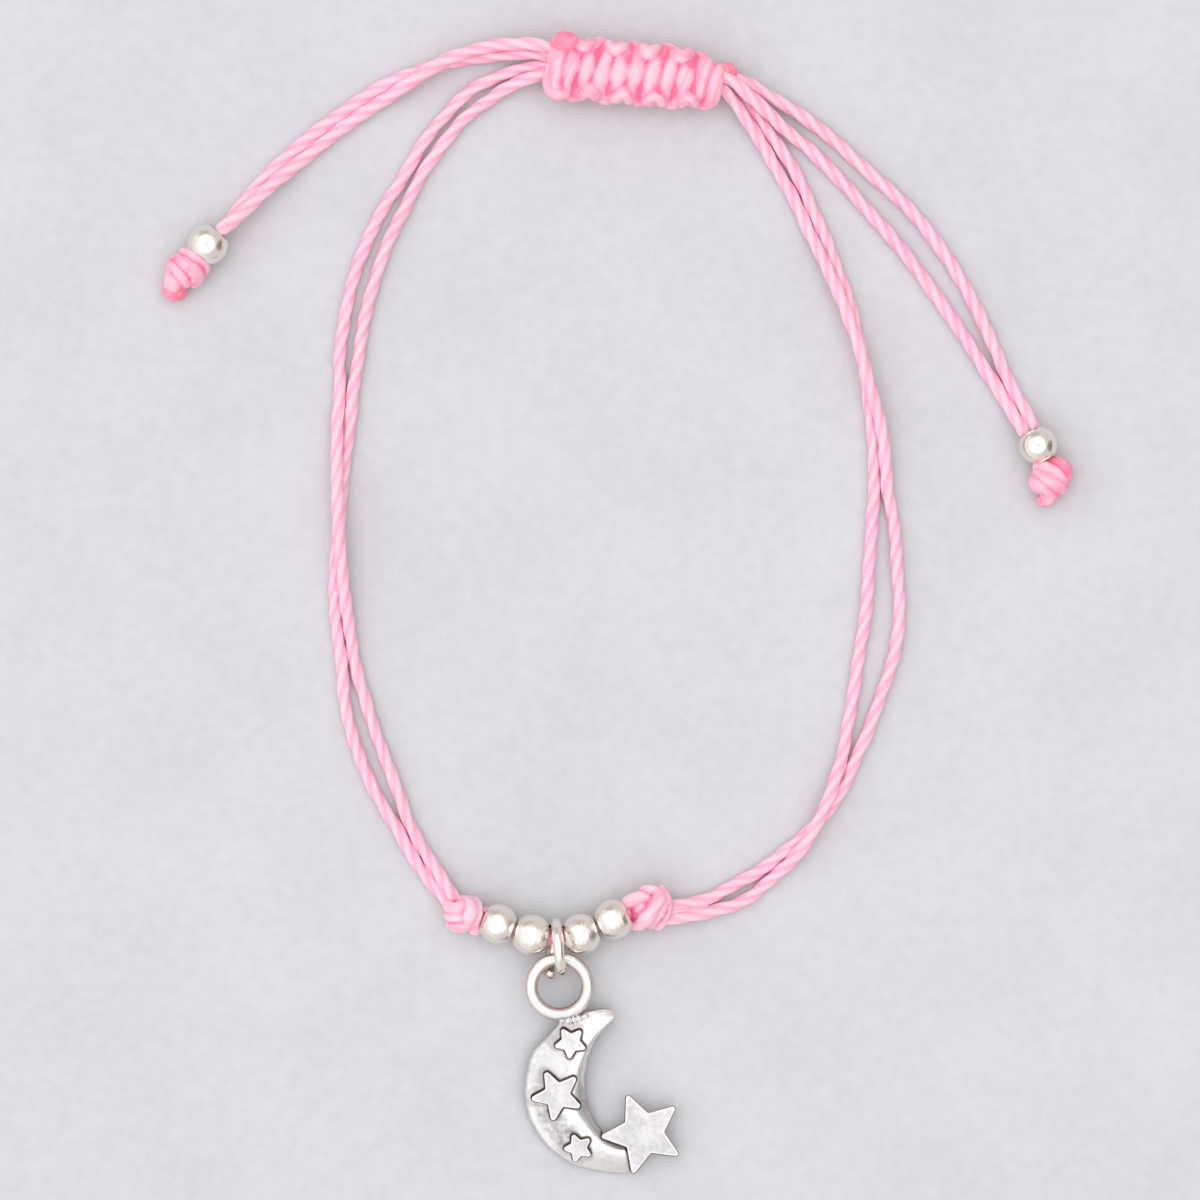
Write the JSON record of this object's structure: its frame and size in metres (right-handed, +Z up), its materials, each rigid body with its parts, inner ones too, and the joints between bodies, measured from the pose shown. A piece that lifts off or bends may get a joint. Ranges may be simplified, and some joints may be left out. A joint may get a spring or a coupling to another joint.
{
  "type": "string bracelet",
  "caption": "Twisted pink string bracelet with a sliding knot clasp, beaded tails, silver beads and a hanging crescent and stars charm.",
  "frame": {"origin": "middle of the wrist opening, on the surface that the bracelet lies on", "axes": "+Z up from the surface, through the wrist opening; +Y from the charm to the sliding clasp, the longest extent; +X to the right seen from above"},
  "size_m": [0.0698, 0.0879, 0.0043],
  "materials": {
    "cord": "twisted waxed thread, soft sheen",
    "knot": "tight knotted thread with melted ends",
    "bead": "polished silver",
    "charm": "antique silver, dark in the recesses"
  },
  "bodies": {
    "root": {"sliding_knot": "cord", "loop_left_outer": "cord", "loop_left_inner": "cord", "loop_right_outer": "cord", "loop_right_inner": "cord", "tail_left_low": "cord", "tail_left_high": "cord", "tail_right_low": "cord", "tail_right_high": "cord", "end_bead_left": "bead", "end_bead_right": "bead", "end_knot_left": "knot", "end_knot_right": "knot", "front_knot_left": "knot", "front_knot_right": "knot", "bead_thread": "cord", "bead_1": "bead", "bead_2": "bead", "bead_3": "bead", "bead_4": "bead", "jump_ring": "bead", "pendant": "charm"}
  },
  "joints": []
}
